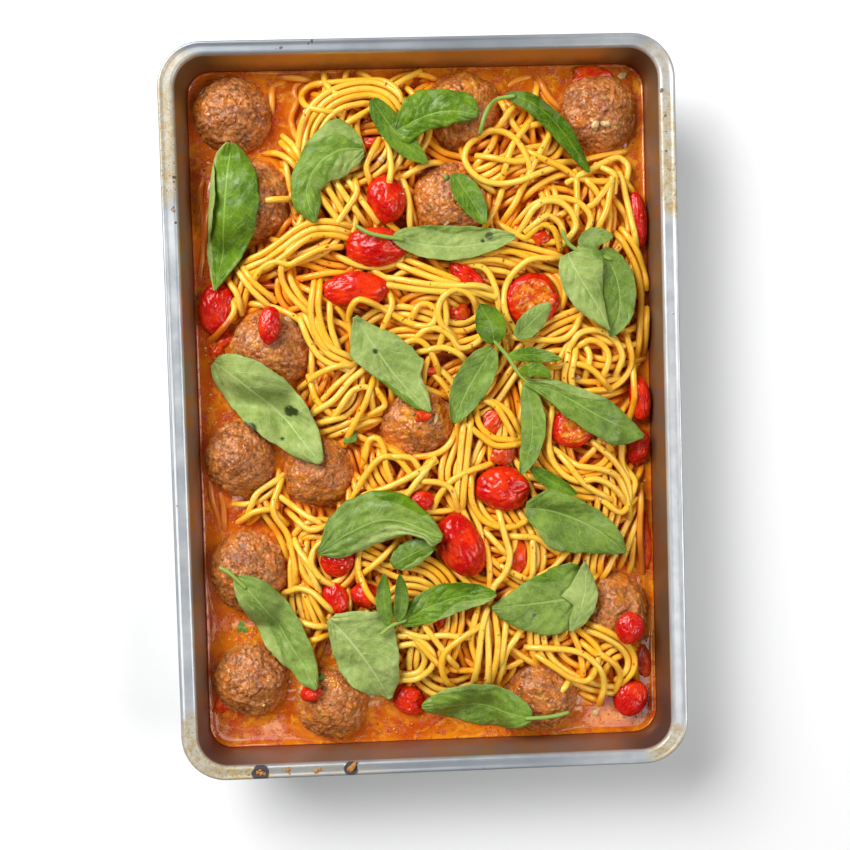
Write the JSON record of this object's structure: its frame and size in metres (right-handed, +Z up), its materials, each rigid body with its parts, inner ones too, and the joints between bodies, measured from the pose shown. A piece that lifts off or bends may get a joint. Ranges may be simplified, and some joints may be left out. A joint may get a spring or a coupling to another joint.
{
  "type": "spaghetti and meatballs in a roasting tray",
  "caption": "Baked spaghetti with meatballs, tomato sauce, roasted cherry tomatoes and basil leaves in a rectangular metal roasting tray with a rolled rim.",
  "frame": {"origin": "middle of the tray's underside, on the surface it stands on", "axes": "+Y along the tray's long side, towards the top of the picture; +X to the right of the picture; +Z up, out of the tray"},
  "size_m": [0.23, 0.33, 0.0468],
  "materials": {
    "tray_metal": "dull, scratched, with baked-on brown stains",
    "tomato_sauce": "wet gloss",
    "spaghetti_strands": "oily sheen",
    "meatball_crust": "crumbly, moist",
    "tomato_skin": "wrinkled wet gloss",
    "basil_leaf": "soft leaf sheen"
  },
  "bodies": {
    "root": {"basil_arched": "basil_leaf", "basil_bent": "basil_leaf", "basil_big_left": "basil_leaf", "basil_bottom": "basil_leaf", "basil_broad": "basil_leaf", "basil_cluster": "basil_leaf", "basil_dark_curl": "basil_leaf", "basil_folded": "basil_leaf", "basil_long_centre": "basil_leaf", "basil_long_left": "basil_leaf", "basil_pair": "basil_leaf", "basil_pale_centre": "basil_leaf", "basil_pale_low": "basil_leaf", "basil_ribbed": "basil_leaf", "basil_rolled": "basil_leaf", "basil_short_bright": "basil_leaf", "basil_small_right": "basil_leaf", "basil_sprig_centre": "basil_leaf", "basil_sprig_low": "basil_leaf", "basil_tall_left": "basil_leaf", "meatball_01": "meatball_crust", "meatball_02": "meatball_crust", "meatball_03": "meatball_crust", "meatball_04": "meatball_crust", "meatball_05": "meatball_crust", "meatball_06": "meatball_crust", "meatball_07": "meatball_crust", "meatball_08": "meatball_crust", "meatball_09": "meatball_crust", "meatball_10": "meatball_crust", "meatball_11": "meatball_crust", "meatball_12": "meatball_crust", "meatball_13": "meatball_crust", "meatball_14": "meatball_crust", "sauce": "tomato_sauce", "spaghetti": "spaghetti_strands", "tomato_01": "tomato_skin", "tomato_02": "tomato_skin", "tomato_03": "tomato_skin", "tomato_04": "tomato_skin", "tomato_05": "tomato_skin", "tomato_06": "tomato_skin", "tomato_07": "tomato_skin", "tomato_08": "tomato_skin", "tomato_09": "tomato_skin", "tomato_10": "tomato_skin", "tomato_11": "tomato_skin", "tomato_12": "tomato_skin", "tomato_13": "tomato_skin", "tomato_14": "tomato_skin", "tomato_15": "tomato_skin", "tomato_16": "tomato_skin", "tomato_17": "tomato_skin", "tomato_18": "tomato_skin", "tomato_19": "tomato_skin", "tomato_20": "tomato_skin", "tomato_21": "tomato_skin", "tray": "tray_metal"}
  },
  "joints": []
}
